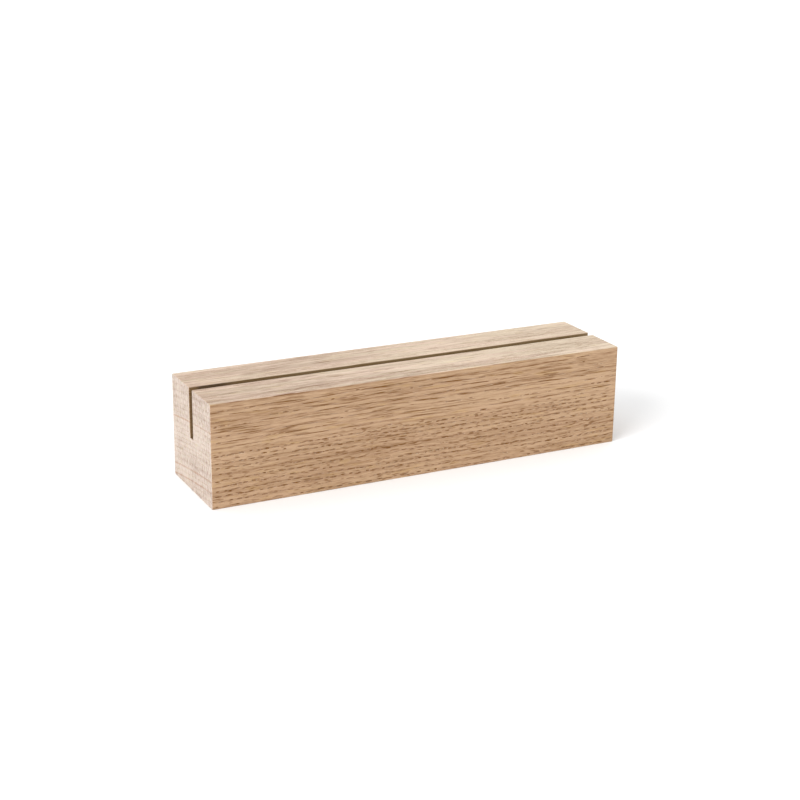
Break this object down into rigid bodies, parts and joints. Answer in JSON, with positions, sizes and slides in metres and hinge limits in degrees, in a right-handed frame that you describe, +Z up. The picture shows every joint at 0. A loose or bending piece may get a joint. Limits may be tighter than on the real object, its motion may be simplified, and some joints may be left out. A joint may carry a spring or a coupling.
{
  "type": "photo block holder",
  "caption": "Plain rectangular oak block with a narrow straight slot sawn along the middle of its top, which holds a photo or card upright.",
  "frame": {"origin": "middle of the underside, on the surface that the block stands on", "axes": "+X along the block, the grain and the slot; the front faces -Y; +Z is up, out of the slot"},
  "size_m": [0.15, 0.035, 0.035],
  "materials": {
    "oak": "matte"
  },
  "bodies": {
    "root": {"oak_block": "oak"}
  },
  "joints": []
}
